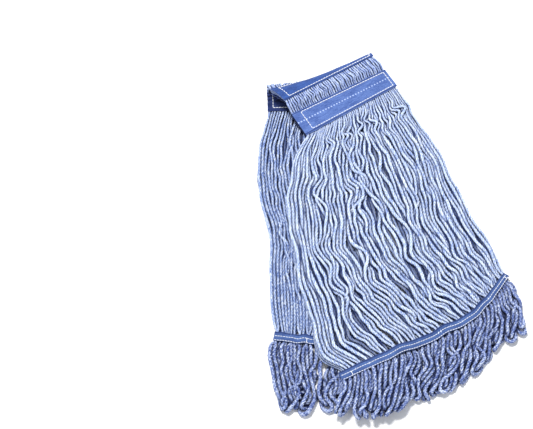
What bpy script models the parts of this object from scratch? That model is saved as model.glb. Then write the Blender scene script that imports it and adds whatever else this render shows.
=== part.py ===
"""Looped-end string mop head, folded in half at its wide headband and lying on its back half.

Metres, +Z up. The origin is the bottom centre of the whole mop head's box. The tails point to -Y.
"""

import math

import bpy
import numpy as np

MM = 0.001

# Driving dimensions.
STRIP_LENGTH = 150.0 * MM
STRIP_WIDTH = 35.0 * MM
STRIP_THICKNESS = 1.2 * MM
LINING_THICKNESS = 1.0 * MM
GAP = 0.35 * MM
YARN_DEPTH = 6.6 * MM
PUFF = 0.6 * MM
EXPOSED_DEPTH = 7.6 * MM
THREAD_RADIUS = 0.4 * MM
STITCH_INSET = 4.5 * MM
TAPE_THICKNESS = 1.0 * MM
# How far a tail tape squeezes the yarn below the top face of the bundles beside it.
TAPE_SINK = 1.2 * MM
BACK_DEPTH = 12.0 * MM
FRONT_DEPTH = 11.0 * MM
LAYER_GAP = 0.6 * MM
# Share of the front skirt over which it comes down from the headband's height.
HANG_SHARE = 0.28

# The outline below is laid out about a working point, which lies this far from the final origin.
CENTRE = np.array([-8.25, 9.29, 0.0]) * MM

# Grid sizes.
ALONG_STRIP = 10
ROWS_PER_STATION = 3
ALONG_BUNDLE = 9
SHARP_ANGLE = math.radians(40)
# Typical length between two points of the headband's route.
STATION_LENGTH = 15.0 * MM

COLOURS = {
    "headband_fabric": (0.085, 0.19, 0.56),
    "lining_fabric": (0.02, 0.045, 0.17),
    "yarn": (0.24, 0.36, 0.72),
    "core_yarn": (0.20, 0.31, 0.66),
    "tail_tape": (0.06, 0.13, 0.45),
    "thread": (0.86, 0.88, 0.93),
}


def spot(x, y, z):
    """A point given in millimetres from the working point, in metres from the final origin."""
    return np.array([x, y, z]) * MM - CENTRE


# Route of the headband's outer face at its left and its right end. It starts at the front skirt, runs up
# over the crown, round the fold at the back, and forward along the floor to the back skirt.
BAND_LEFT = [
    spot(-123, 151, 24), spot(-145, 181, 34), spot(-150, 189, 40.5), spot(-154, 197, 43.5),
    spot(-165, 208, 45), spot(-176, 218, 42.5), spot(-182.5, 230, 32.5), spot(-184, 232.5, 19.5),
    spot(-183, 221, 7.5), spot(-182, 202, 1.3),
]
BAND_RIGHT = [
    spot(4, 231, 24), spot(-14, 252, 35.5), spot(-20, 260.5, 42), spot(-30, 270, 44.5),
    spot(-34, 280.5, 34), spot(-33, 275, 15), spot(-31, 260, 4), spot(-31, 240, 1.4),
    spot(-31, 222, 1.3), spot(-31, 204, 1.3),
]
# Stretches of that route, each from one station to another. A station is a place along the route at the
# left end and at the right end: the fold's split runs slantwise, so that it opens clear of itself.
FOLD_SPLIT = (6.1, 5.1)
FRONT_STRIP = ((0, 0), (1, 1))
FRONT_EXPOSED = ((1, 1), (3, 3))
CROWN_STRIP = ((3, 3), (5, 5))
REAR_EXPOSED_UPPER = ((5, 5), FOLD_SPLIT)
REAR_EXPOSED_LOWER = (FOLD_SPLIT, (7, 7))
BACK_STRIP = ((7, 7), (9, 9))

# Plan outline of the front layer: its left and right side from the headband to the tail tape, the tape's
# upper edge, and the ends of the fringe loops from left to right. Heights come from front_top.
FRONT_LEFT_EDGE = [
    spot(-123, 151, 24), spot(-139, 114, 24), spot(-145, 70, 24), spot(-143, 25, 24),
    spot(-134, -30, 24), spot(-122, -85, 24), spot(-112, -125, 24), spot(-103, -166, 24),
    spot(-72, -196, 24),
]
FRONT_RIGHT_EDGE = [
    spot(4, 231, 24), spot(24, 196, 22), spot(50, 156, 22), spot(72, 112, 22),
    spot(90, 64, 22), spot(108, 24, 22), spot(124, -12, 22), spot(135, -38, 22),
    spot(141, -51, 22),
]
FRONT_TAPE_EDGE = [
    spot(-72, -196, 24), spot(-30, -175, 24), spot(12, -153, 24), spot(56, -130, 24),
    spot(97, -106, 24), spot(121, -79, 24), spot(141, -51, 24),
]
FRONT_FRINGE_EDGE = [
    spot(-72, -252, 24), spot(-32, -262, 24), spot(6, -244, 24), spot(46, -228, 24),
    spot(88, -200, 24), spot(130, -166, 24), spot(176, -134, 24),
]

# The same for the back layer, which lies on the floor.
BACK_LEFT_EDGE = [
    spot(-182, 202, 12), spot(-191, 152, 12), spot(-192, 92, 12), spot(-185, 52, 12),
    spot(-174, 12, 12), spot(-167, -35, 12), spot(-164, -90, 12), spot(-157, -137, 12),
]
BACK_RIGHT_EDGE = [
    spot(-31, 204, 12), spot(-26, 150, 12), spot(-20, 92, 12), spot(-16, 50, 12),
    spot(-15, 10, 12), spot(-18, -36, 12), spot(-24, -90, 12), spot(-32, -141, 12),
]
BACK_TAPE_EDGE = [
    spot(-157, -137, 12), spot(-132, -140, 12), spot(-104, -142, 12), spot(-76, -142, 12),
    spot(-52, -142, 12), spot(-32, -141, 12),
]
BACK_FRINGE_EDGE = [
    spot(-143, -236, 12), spot(-127, -255, 12), spot(-102, -259, 12), spot(-78, -246, 12),
    spot(-54, -233, 12), spot(-34, -226, 12),
]

# Right of this line the front layer slopes down off the back layer, over this distance.
BACK_LAYER_END = spot(-10, 0, 0)[0]
SLOPE_LENGTH = 48.0 * MM
TAPE_WIDTH = 12.0 * MM
# Places of the two stitch lines across a tape, and how far they stop short of its ends.
UPPER_STITCH = 0.45
LOWER_STITCH = 0.92
TAPE_END_SHARE = 0.18
FRONT_BUNDLES = 6
BACK_BUNDLES = 5
FREE_BACK_BUNDLES = 2
# How strongly a fringe's loops leave the tape squarely before they fall towards their ends, and the place
# along the tape from which they do so less and less.
SQUARE_SHARE = 0.6
SQUARE_UNTIL = 0.65
# Share of a route, or number of stations, over which its direction is measured.
DIRECTION_STEP = 0.02
# Share of a skirt's length left free below the headband strip, where the linings lean forward.
FRONT_START = 0.004
BACK_START = 0.016
SKIRT_END = 0.996

# Hinge lines: the fold, along the rearmost edge of the headband's outer face; the front skirt, along the
# front strip's lower edge; and the free loops, along the lower edge of each tail tape.
FOLD_LINE = (spot(-184.5, 233.5, 27), spot(-34, 281, 27))
FRONT_SKIRT_LINE = (spot(-123, 151, 24.3), spot(4, 231, 24.3))
FRONT_FRINGE_LINE = (spot(-66.6, -206.7, 24), spot(150.4, -58.2, 24))
BACK_FRINGE_LINE = (spot(-158.4, -148.9, 12.3), spot(-107, -154, 12.3))

# Section of a bundle: across, from -1 to 1, and down, from 0 at the top face to 1 at the underside.
SECTION = [
    (-0.72, 0.0), (0.72, 0.0), (0.94, 0.12), (1.0, 0.45),
    (0.96, 1.0), (-0.96, 1.0), (-1.0, 0.45), (-0.94, 0.12),
]


def along(route, t):
    """Catmull-Rom point on a route, with t counted in its points."""
    last = len(route) - 1
    i = int(min(max(math.floor(t), 0), last - 1))
    f = t - i
    p1 = route[i]
    p2 = route[i + 1]
    p0 = route[i - 1] if i > 0 else 2 * p1 - p2
    p3 = route[i + 2] if i + 2 <= last else 2 * p2 - p1
    return 0.5 * (
        2 * p1 + (p2 - p0) * f + (2 * p0 - 5 * p1 + 4 * p2 - p3) * f**2 + (3 * (p1 - p2) + p3 - p0) * f**3
    )


def band_point(u, t):
    """Point of the headband's outer face, u from left end to right end and t along the yarn."""
    return (1 - u) * along(BAND_LEFT, t) + u * along(BAND_RIGHT, t)


def band_normal(u, t):
    low_u = max(u - DIRECTION_STEP, 0.0)
    high_u = min(u + DIRECTION_STEP, 1.0)
    low_t = max(t - DIRECTION_STEP, 0.0)
    high_t = min(t + DIRECTION_STEP, len(BAND_LEFT) - 1)
    across = band_point(high_u, t) - band_point(low_u, t)
    forward = band_point(u, high_t) - band_point(u, low_t)
    normal = np.cross(across, forward)
    return normal / np.linalg.norm(normal)


def patch_point(left, right, bottom, u, v):
    """Coons patch between two side edges, a straight top edge and a curved bottom edge."""
    sides = (1 - u) * along(left, v * (len(left) - 1)) + u * along(right, v * (len(right) - 1))
    bow = along(bottom, u * (len(bottom) - 1)) - ((1 - u) * bottom[0] + u * bottom[-1])
    return sides + v * bow


def smoothstep(x):
    x = min(max(x, 0.0), 1.0)
    return x * x * (3 - 2 * x)


def front_top(x):
    """Height of the front layer's top face: over the back layer at the left, on the floor at the right."""
    raised = 1 - smoothstep((x - BACK_LAYER_END) / SLOPE_LENGTH)
    return FRONT_DEPTH + raised * (BACK_DEPTH + LAYER_GAP)


def front_skirt_point(u, v):
    p = patch_point(FRONT_LEFT_EDGE, FRONT_RIGHT_EDGE, FRONT_TAPE_EDGE, u, v)
    hang = 1 - smoothstep(v / HANG_SHARE)
    p[2] = hang * p[2] + (1 - hang) * front_top(p[0])
    return p


def back_skirt_point(u, v):
    return patch_point(BACK_LEFT_EDGE, BACK_RIGHT_EDGE, BACK_TAPE_EDGE, u, v)


def tape_down(edge, u):
    """Unit vector in the floor plane, square to a tape's edge and pointing to the fringe."""
    last = len(edge) - 1
    before = along(edge, max(u - DIRECTION_STEP, 0.0) * last)
    after = along(edge, min(u + DIRECTION_STEP, 1.0) * last)
    run = after - before
    down = np.array([run[1], -run[0], 0.0])
    return down / np.linalg.norm(down)


def tape_point(edge, u, distance, drop):
    """Point on a tail tape, at a distance below its upper edge and a drop under its top face."""
    p = along(edge, u * (len(edge) - 1))
    if edge is FRONT_TAPE_EDGE:
        p[2] = front_top(p[0])
    p[2] -= TAPE_SINK + drop
    return p + distance * tape_down(edge, u)


def fringe_point(tape_edge, lower, u, v):
    """Point of a fringe, whose loops leave the tape squarely and then fall towards their ends."""
    start = tape_point(tape_edge, u, TAPE_WIDTH + GAP, 0.0)
    end = along(lower, u * (len(lower) - 1))
    straight = (1 - v) * start + v * end
    squarely = start + v * np.linalg.norm(end - start) * tape_down(tape_edge, u)
    share = SQUARE_SHARE * (1 - smoothstep((u - SQUARE_UNTIL) / (1 - SQUARE_UNTIL)))
    p = straight + share * (1 - v) ** 2 * (squarely - straight)
    p[2] = front_top(p[0]) if tape_edge is FRONT_TAPE_EDGE else BACK_DEPTH
    return p


def front_fringe_point(u, v):
    return fringe_point(FRONT_TAPE_EDGE, FRONT_FRINGE_EDGE, u, v)


def back_fringe_point(u, v):
    return fringe_point(BACK_TAPE_EDGE, BACK_FRINGE_EDGE, u, v)


class Body:
    """Pieces that move as one. Their objects' origin is a point of the joint that carries them."""

    def __init__(self, collection, looks, hinge):
        self.collection = collection
        self.looks = looks
        self.hinge = hinge

    def add(self, name, data, look):
        made = bpy.data.objects.new(name, data)
        made.data.materials.append(self.looks[look])
        made.location = self.hinge
        self.collection.objects.link(made)
        return made

    def add_mesh(self, name, points, faces, look):
        mesh = bpy.data.meshes.new(name)
        mesh.from_pydata([tuple(p - self.hinge) for p in points], [], faces)
        mesh.shade_smooth()
        mesh.set_sharp_from_angle(angle=SHARP_ANGLE)
        return self.add(name, mesh, look)

    def add_thread(self, name, points, closed):
        """A sewing thread lying on a face: a thin poly curve with filled caps."""
        curve = bpy.data.curves.new(name, "CURVE")
        curve.dimensions = "3D"
        curve.bevel_depth = THREAD_RADIUS
        curve.bevel_resolution = 1
        curve.use_fill_caps = not closed
        spline = curve.splines.new("POLY")
        spline.points.add(len(points) - 1)
        for held, p in zip(spline.points, points):
            held.co = (*(p - self.hinge), 1.0)
        spline.use_cyclic_u = closed
        return self.add(name, curve, "thread")


def clear_scene():
    for old in list(bpy.data.objects):
        bpy.data.objects.remove(old)


def cloth_material(name):
    made = bpy.data.materials.new(name)
    made.use_nodes = True
    shader = made.node_tree.nodes["Principled BSDF"]
    shader.inputs["Base Color"].default_value = (*COLOURS[name], 1.0)
    shader.inputs["Roughness"].default_value = 0.9
    shader.inputs["Metallic"].default_value = 0.0
    return made


def station_at(station, u):
    left, right = station
    return (1 - u) * left + u * right


def band_layer(body, name, stations, depth, thickness, look):
    """One layer of the headband, lofted between its outer and its inner face.

    Round the fold the inner face is much shorter than the outer one. Neighbours share the normal of the
    station where they meet, so their edges lie parallel, a small gap apart.
    """
    margin = 0.5 * GAP / STATION_LENGTH
    rows = ROWS_PER_STATION * round(stations[1][0] - stations[0][0])
    columns = ALONG_STRIP
    wide = columns + 1
    count = wide * (rows + 1)
    points = []
    for face_depth in (depth, depth + thickness):
        for j in range(rows + 1):
            for i in range(wide):
                u = i / columns
                low = station_at(stations[0], u)
                high = station_at(stations[1], u)
                t = low + margin + (high - low - 2 * margin) * j / rows
                facing = {0: low, rows: high}.get(j, t)
                points.append(band_point(u, t) - face_depth * band_normal(u, facing))
    faces = []
    for j in range(rows):
        for i in range(columns):
            a = j * wide + i
            quad = (a, a + 1, a + 1 + wide, a + wide)
            faces.append(quad)
            faces.append(tuple(count + corner for corner in reversed(quad)))
    rim = [(j, 0) for j in range(rows, 0, -1)] + [(0, i) for i in range(columns)]
    rim += [(j, columns) for j in range(rows)] + [(rows, i) for i in range(columns, 0, -1)]
    rim = [j * wide + i for j, i in rim]
    for start, end in zip(rim, rim[1:] + rim[:1]):
        faces.append((end, start, count + start, count + end))
    return body.add_mesh(name, points, faces, look)


def stitch_rectangle(body, name, stations, depth):
    """The rectangle of lock-stitches sewn just inside a strip's edges."""
    low = stations[0][0]
    high = stations[1][0]
    inset_t = STITCH_INSET / STRIP_WIDTH * (high - low)
    inset_u = STITCH_INSET / STRIP_LENGTH
    steps_u = ALONG_STRIP
    steps_t = 2 * ROWS_PER_STATION
    outline = [(i / steps_u, 0.0) for i in range(steps_u)]
    outline += [(1.0, j / steps_t) for j in range(steps_t)]
    outline += [(1.0 - i / steps_u, 1.0) for i in range(steps_u)]
    outline += [(0.0, 1.0 - j / steps_t) for j in range(steps_t)]
    points = []
    for a, b in outline:
        u = inset_u + (1 - 2 * inset_u) * a
        t = low + inset_t + (high - low - 2 * inset_t) * b
        points.append(band_point(u, t) - depth * band_normal(u, t))
    return body.add_thread(name, points, True)


def build_strip(body, place, stations):
    """One sewn part of the headband: outer strip, pressed yarn, lining and both faces of its stitching."""
    core_depth = STRIP_THICKNESS + GAP
    lining_depth = core_depth + YARN_DEPTH + GAP
    stand_off = GAP + THREAD_RADIUS
    band_layer(body, f"{place}_strip", stations, 0.0, STRIP_THICKNESS, "headband_fabric")
    band_layer(body, f"{place}_pressed_yarn", stations, core_depth, YARN_DEPTH, "core_yarn")
    band_layer(body, f"{place}_lining", stations, lining_depth, LINING_THICKNESS, "lining_fabric")
    stitch_rectangle(body, f"{place}_outer_stitching", stations, -stand_off)
    stitch_rectangle(body, f"{place}_lining_stitching", stations, lining_depth + LINING_THICKNESS + stand_off)


def build_exposed_yarn(body, name, stations):
    """The yarn that shows between two strips; it stands a little proud of them."""
    band_layer(body, name, stations, -PUFF, EXPOSED_DEPTH + PUFF, "yarn")


def bundle(body, name, left_edge, right_edge, underside):
    """A flattened bundle of strands: a loft of eight-cornered sections between its two side lines.

    left_edge(v) and right_edge(v) give the top face's sides, and underside(height) the underside's height.
    """
    points = []
    for j in range(ALONG_BUNDLE + 1):
        v = j / ALONG_BUNDLE
        left = left_edge(v)
        right = right_edge(v)
        middle = 0.5 * (left + right)
        side = 0.5 * (right - left)
        side[2] = 0.0
        side *= 1 - GAP / np.linalg.norm(side)
        height = max(left[2], right[2])
        depth = height - underside(height)
        for across, down in SECTION:
            p = middle + across * side
            p[2] = height - down * depth
            points.append(p)
    count = len(SECTION)
    faces = []
    for start in range(0, ALONG_BUNDLE * count, count):
        for i in range(count):
            after = (i + 1) % count
            faces.append((start + i, start + count + i, start + count + after, start + after))
    faces.append(tuple(range(count)))
    faces.append(tuple(reversed(range(ALONG_BUNDLE * count, (ALONG_BUNDLE + 1) * count))))
    return body.add_mesh(name, points, faces, "yarn")


def build_bundles(body, prefix, point, chosen, count, underside, start=0.0, end=1.0):
    """Side by side bundles of a skirt or a fringe, with a small gap between neighbours.

    The layer has count bundles, and the chosen ones are built on this body.
    """

    def side_line(u):
        return lambda v: point(u, start + (end - start) * v)

    for k in chosen:
        bundle(body, f"{prefix}_{k + 1}", side_line(k / count), side_line((k + 1) / count), underside)


def front_underside(height):
    return max(height - FRONT_DEPTH, 0.0)


def back_underside(height):
    """The back layer is as thick as it is high, because it lies on the floor."""
    return 0.0


def tape_layer(body, name, edge, columns, drop, thickness, look):
    """A layer of a tail band: an open strip of faces along its top, thickened downward by Solidify."""
    points = []
    for distance in (0.0, TAPE_WIDTH):
        points.extend(tape_point(edge, i / columns, distance, drop) for i in range(columns + 1))
    wide = columns + 1
    faces = [(i, wide + i, wide + i + 1, i + 1) for i in range(columns)]
    made = body.add_mesh(name, points, faces, look)
    solid = made.modifiers.new("thickness", "SOLIDIFY")
    solid.thickness = thickness
    solid.offset = -1.0
    solid.use_even_offset = False
    return made


def tape_line(edge, columns, share):
    """A sewing line along a tape, on its flat facets, stopping short of both ends."""
    stand_off = -(GAP + THREAD_RADIUS)
    nodes = [tape_point(edge, i / columns, share * TAPE_WIDTH, stand_off) for i in range(columns + 1)]
    nodes[0] = nodes[0] + TAPE_END_SHARE * (nodes[1] - nodes[0])
    nodes[-1] = nodes[-1] + TAPE_END_SHARE * (nodes[-2] - nodes[-1])
    return nodes


def build_tape(body, side, edge, columns, layer_depth):
    """A tail band: top and under tape, the yarn between them, two stitch lines and two bartacks."""
    yarn_drop = TAPE_THICKNESS + GAP
    under_drop = layer_depth - TAPE_SINK - TAPE_THICKNESS
    yarn_depth = under_drop - yarn_drop - GAP
    tape_layer(body, f"{side}_tail_tape_upper", edge, columns, 0.0, TAPE_THICKNESS, "tail_tape")
    tape_layer(body, f"{side}_tail_yarn", edge, columns, yarn_drop, yarn_depth, "core_yarn")
    tape_layer(body, f"{side}_tail_tape_under", edge, columns, under_drop, TAPE_THICKNESS, "tail_tape")
    upper = tape_line(edge, columns, UPPER_STITCH)
    lower = tape_line(edge, columns, LOWER_STITCH)
    body.add_thread(f"{side}_tail_stitch_upper", upper, False)
    body.add_thread(f"{side}_tail_stitch_lower", lower, False)
    clearance = GAP + 2 * THREAD_RADIUS
    for end, i in (("left", 0), ("right", -1)):
        across = lower[i] - upper[i]
        trim = clearance / np.linalg.norm(across) * across
        body.add_thread(f"{side}_tail_bartack_{end}", [upper[i] + trim, lower[i] - trim], False)


def middle_of(line):
    return 0.5 * (line[0] + line[1])


def build_back_half(body):
    build_strip(body, "back_headband", BACK_STRIP)
    build_exposed_yarn(body, "rear_exposed_yarn_lower", REAR_EXPOSED_LOWER)
    every = range(BACK_BUNDLES)
    build_bundles(
        body, "back_skirt", back_skirt_point, every, BACK_BUNDLES, back_underside, BACK_START, SKIRT_END
    )
    build_tape(body, "back", BACK_TAPE_EDGE, BACK_BUNDLES, BACK_DEPTH)
    covered = range(FREE_BACK_BUNDLES, BACK_BUNDLES)
    build_bundles(body, "back_fringe", back_fringe_point, covered, BACK_BUNDLES, back_underside)


def build_front_headband(body):
    build_exposed_yarn(body, "rear_exposed_yarn_upper", REAR_EXPOSED_UPPER)
    build_strip(body, "crown_headband", CROWN_STRIP)
    build_exposed_yarn(body, "front_exposed_yarn", FRONT_EXPOSED)
    build_strip(body, "front_headband", FRONT_STRIP)


def build_front_skirt(body):
    every = range(FRONT_BUNDLES)
    build_bundles(
        body, "front_skirt", front_skirt_point, every, FRONT_BUNDLES, front_underside, FRONT_START, SKIRT_END
    )
    build_tape(body, "front", FRONT_TAPE_EDGE, FRONT_BUNDLES, FRONT_DEPTH)


def build_front_fringe(body):
    every = range(FRONT_BUNDLES)
    build_bundles(body, "front_fringe", front_fringe_point, every, FRONT_BUNDLES, front_underside)


def build_back_fringe(body):
    free = range(FREE_BACK_BUNDLES)
    build_bundles(body, "back_fringe", back_fringe_point, free, BACK_BUNDLES, back_underside)


def main():
    clear_scene()
    collection = bpy.data.collections.new("string_mop_head")
    bpy.context.scene.collection.children.link(collection)
    looks = {name: cloth_material(name) for name in COLOURS}
    build_back_half(Body(collection, looks, np.zeros(3)))
    build_front_headband(Body(collection, looks, middle_of(FOLD_LINE)))
    build_front_skirt(Body(collection, looks, middle_of(FRONT_SKIRT_LINE)))
    build_front_fringe(Body(collection, looks, middle_of(FRONT_FRINGE_LINE)))
    build_back_fringe(Body(collection, looks, middle_of(BACK_FRINGE_LINE)))


main()
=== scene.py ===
"""Looks of the looped-end string mop head: plied cotton yarn, woven headband, tail tapes and stitching.

Metres, +Z up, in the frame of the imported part. The tails point to -Y and the mop lies on its back half.
"""

import math
from types import SimpleNamespace

import bpy
import numpy as np
from mathutils import Matrix, Vector


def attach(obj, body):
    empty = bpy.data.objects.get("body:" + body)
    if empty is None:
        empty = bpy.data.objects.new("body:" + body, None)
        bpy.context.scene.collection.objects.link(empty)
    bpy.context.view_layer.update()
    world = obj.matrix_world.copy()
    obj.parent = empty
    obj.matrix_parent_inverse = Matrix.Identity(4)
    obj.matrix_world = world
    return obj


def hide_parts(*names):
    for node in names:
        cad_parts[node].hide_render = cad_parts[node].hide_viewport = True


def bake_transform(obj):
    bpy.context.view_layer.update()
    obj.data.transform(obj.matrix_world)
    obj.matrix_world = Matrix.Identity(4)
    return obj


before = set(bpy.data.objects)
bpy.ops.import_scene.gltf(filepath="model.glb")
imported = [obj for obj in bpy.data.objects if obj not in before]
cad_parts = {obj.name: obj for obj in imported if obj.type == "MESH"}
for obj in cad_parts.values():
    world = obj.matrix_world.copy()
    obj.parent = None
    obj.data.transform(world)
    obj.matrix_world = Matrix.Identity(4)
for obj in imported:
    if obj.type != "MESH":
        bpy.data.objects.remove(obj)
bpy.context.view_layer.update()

MM = 0.001
rng = np.random.default_rng(447)

# ---------------------------------------------------------------- sizes of the real object, as in the part
STRIP_LENGTH = 150.0 * MM
STRIP_WIDTH = 35.0 * MM
STRIP_THICKNESS = 1.2 * MM
LINING_THICKNESS = 1.0 * MM
GAP = 0.35 * MM
YARN_DEPTH = 6.6 * MM
STITCH_INSET = 4.5 * MM
TAPE_THICKNESS = 1.0 * MM
TAPE_SINK = 1.2 * MM
BACK_DEPTH = 12.0 * MM
FRONT_DEPTH = 11.0 * MM
LAYER_GAP = 0.6 * MM
HANG_SHARE = 0.28
SLOPE_LENGTH = 48.0 * MM
TAPE_WIDTH = 12.0 * MM
UPPER_STITCH = 0.45
LOWER_STITCH = 0.92
CENTRE = np.array([-8.25, 9.29, 0.0]) * MM

# Yarn: radius where it lies free, and where the headband or a tape presses it, twist, and roughness as a
# share.
FREE_RADIUS = 2.45 * MM
PRESSED_RADIUS = 1.50 * MM
TWIST_PITCH = 21.0 * MM
SURFACE_NOISE = 0.055
# Reach of each column of a tube over one of its four plies, for buried and for showing strands.
PLY_LOBES = {8: (0.80, 1.03), 12: (0.78, 1.0, 1.03)}
# How far off a strand still hems in another one, in sums of their radii.
CROWD_REACH = 1.75
# How far a surface has to be closed off before painted shade darkens it, and over what span it turns dark.
CREVICE_FROM = 0.42
CREVICE_SPAN = 0.64
# Settling: how near points are compared, how many points of one strand are passed over, the share of two
# radii they keep apart, how fast they part, how much a point with many neighbours is slowed, and the room
# under one.
PAIR_REACH = 5.4 * MM
OWN_POINTS = 4
KEPT_APART = 0.97
PUSH_SHARE = 0.45
SLOWED = 0.6
FLOOR_CLEARANCE = 1.08


def spots(*points):
    """Points given in millimetres from the working point, in metres from the origin."""
    return np.array(points, float) * MM - CENTRE


def level(height, *points):
    """Like spots, for points that all lie at one height."""
    return spots(*((x, y, height) for x, y in points))


BAND_LEFT = spots(
    (-123, 151, 24), (-145, 181, 34), (-150, 189, 40.5), (-154, 197, 43.5), (-165, 208, 45),
    (-176, 218, 42.5), (-182.5, 230, 32.5), (-184, 232.5, 19.5), (-183, 221, 7.5), (-182, 202, 1.3),
)
BAND_RIGHT = spots(
    (4, 231, 24), (-14, 252, 35.5), (-20, 260.5, 42), (-30, 270, 44.5), (-34, 280.5, 34),
    (-33, 275, 15), (-31, 260, 4), (-31, 240, 1.4), (-31, 222, 1.3), (-31, 204, 1.3),
)
FRONT_LEFT_EDGE = level(
    24,
    (-123, 151), (-139, 114), (-145, 70), (-143, 25), (-134, -30), (-122, -85), (-112, -125),
    (-103, -166), (-72, -196),
)
FRONT_RIGHT_EDGE = spots(
    (4, 231, 24), (24, 196, 22), (50, 156, 22), (72, 112, 22), (90, 64, 22), (108, 24, 22),
    (124, -12, 22), (135, -38, 22), (141, -51, 22),
)
FRONT_TAPE_EDGE = level(
    24,
    (-72, -196), (-30, -175), (12, -153), (56, -130), (97, -106), (121, -79), (141, -51),
)
FRONT_FRINGE_EDGE = level(
    24,
    (-72, -252), (-32, -262), (6, -244), (46, -228), (88, -200), (130, -166), (176, -134),
)
BACK_LEFT_EDGE = level(
    12,
    (-182, 202), (-191, 152), (-192, 92), (-185, 52), (-174, 12), (-167, -35), (-164, -90),
    (-157, -137),
)
BACK_RIGHT_EDGE = level(
    12,
    (-31, 204), (-26, 150), (-20, 92), (-16, 50), (-15, 10), (-18, -36), (-24, -90), (-32, -141),
)
BACK_TAPE_EDGE = level(
    12,
    (-157, -137), (-132, -140), (-104, -142), (-76, -142), (-52, -142), (-32, -141),
)
BACK_FRINGE_EDGE = level(
    12,
    (-143, -236), (-127, -255), (-102, -259), (-78, -246), (-54, -233), (-34, -226),
)
BACK_LAYER_END = spots((-10, 0, 0))[0][0]
FRONT_SKIRT_LINE = spots((-123, 151, 24.3), (4, 231, 24.3))


# ---------------------------------------------------------------- routes and surfaces
def unit(v):
    return v / np.maximum(np.linalg.norm(v, axis=-1, keepdims=True), 1e-12)


def smoothstep(x):
    x = np.clip(x, 0.0, 1.0)
    return x * x * (3 - 2 * x)


def hill(x, centre, width):
    """A smooth bump of height one."""
    return np.exp(-(((x - centre) / width) ** 2))


def run_along(line):
    """Distance from the start of a line to each of its points."""
    return np.concatenate([[0.0], np.cumsum(np.linalg.norm(np.diff(line, axis=0), axis=1))])


def even_steps(run, step):
    """Places a nearly fixed step apart on a line, both ends among them."""
    return np.linspace(0, run[-1], max(int(round(run[-1] / step)), 4) + 1)


def along(route, t):
    """Catmull-Rom points on a route, with t counted in its points."""
    t = np.asarray(t, float)
    last = len(route) - 1
    i = np.clip(np.floor(t).astype(int), 0, last - 1)
    f = (t - i)[..., None]
    p1 = route[i]
    p2 = route[i + 1]
    p0 = np.where((i > 0)[..., None], route[np.maximum(i - 1, 0)], 2 * p1 - p2)
    p3 = np.where((i + 2 <= last)[..., None], route[np.minimum(i + 2, last)], 2 * p2 - p1)
    return 0.5 * (
        2 * p1 + (p2 - p0) * f + (2 * p0 - 5 * p1 + 4 * p2 - p3) * f**2 + (3 * (p1 - p2) + p3 - p0) * f**3
    )


def band_point(u, t):
    """Points on the outer face of the headband: u from left to right, t along its folded section."""
    u = u[..., None]
    return (1 - u) * along(BAND_LEFT, t) + u * along(BAND_RIGHT, t)


def band_normal(u, t):
    """Unit vectors out of the headband."""
    step = 0.04
    last = len(BAND_LEFT) - 1.0
    across = along(BAND_RIGHT, t) - along(BAND_LEFT, t)
    forward = band_point(u, np.clip(t + step, 0.0, last)) - band_point(u, np.clip(t - step, 0.0, last))
    return unit(np.cross(across, forward))


def band_spot(u, t, depth):
    """Points at a depth under the headband's outer face."""
    return band_point(u, t) - depth[..., None] * band_normal(u, t)


def patch_point(left, right, bottom, u, v):
    """Points between two side routes, bowed toward the bottom one."""
    w = u[..., None]
    sides = (1 - w) * along(left, v * (len(left) - 1)) + w * along(right, v * (len(right) - 1))
    bow = along(bottom, u * (len(bottom) - 1)) - ((1 - w) * bottom[0] + w * bottom[-1])
    return sides + v[..., None] * bow


def front_top(x):
    """Height of the front layer's top face, which steps down where the back layer ends."""
    raised = 1 - smoothstep((x - BACK_LAYER_END) / SLOPE_LENGTH)
    return FRONT_DEPTH + raised * (BACK_DEPTH + LAYER_GAP)


def front_skirt_point(u, v):
    p = patch_point(FRONT_LEFT_EDGE, FRONT_RIGHT_EDGE, FRONT_TAPE_EDGE, u, v)
    hang = 1 - smoothstep(v / HANG_SHARE)
    p[..., 2] = hang * p[..., 2] + (1 - hang) * front_top(p[..., 0])
    return p


def back_skirt_point(u, v):
    return patch_point(BACK_LEFT_EDGE, BACK_RIGHT_EDGE, BACK_TAPE_EDGE, u, v)


def tape_down(edge, u):
    """Unit vectors in the floor plane, square to a tape's edge and pointing to the fringe."""
    last = len(edge) - 1
    run = along(edge, np.clip(u + 0.02, 0, 1) * last) - along(edge, np.clip(u - 0.02, 0, 1) * last)
    return unit(np.stack([run[..., 1], -run[..., 0], np.zeros_like(u)], -1))


def tape_point(edge, u, distance, drop):
    """Points on a tail tape, at a distance below its upper edge and a drop under its top face."""
    p = along(edge, u * (len(edge) - 1))
    if edge is FRONT_TAPE_EDGE:
        p[..., 2] = front_top(p[..., 0])
    p[..., 2] -= TAPE_SINK + drop
    return p + distance[..., None] * tape_down(edge, u)


def fringe_point(tape_edge, lower, u, v):
    """Points of a fringe between its tape and its lower end, leaving the tape squarely."""
    v = v[..., None]
    start = tape_point(tape_edge, u, TAPE_WIDTH + 0 * u, 0.0)
    end = along(lower, u * (len(lower) - 1))
    straight = (1 - v) * start + v * end
    squarely = start + v * np.linalg.norm(end - start, axis=-1, keepdims=True) * tape_down(tape_edge, u)
    share = 0.6 * (1 - smoothstep((u - 0.65) / 0.35))[..., None]
    p = straight + share * (1 - v) ** 2 * (squarely - straight)
    p[..., 2] = front_top(p[..., 0]) if tape_edge is FRONT_TAPE_EDGE else BACK_DEPTH
    return p


# ---------------------------------------------------------------- smooth seeded noise
class Waves:
    """A smooth random field of (u, v): a sum of sines with seeded phases."""

    def __init__(self, u_scale, v_scale, count=7):
        self.fu = rng.normal(0, 1, count) * u_scale
        self.fv = rng.uniform(0.6, 1.4, count) * v_scale
        self.phase = rng.uniform(0, 2 * math.pi, count)
        self.gain = 1.4 / math.sqrt(count)

    def __call__(self, u, v):
        angle = 2 * math.pi * (self.fu * np.asarray(u)[..., None] + self.fv * np.asarray(v)[..., None])
        return self.gain * np.sin(angle + self.phase).sum(-1)


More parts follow.
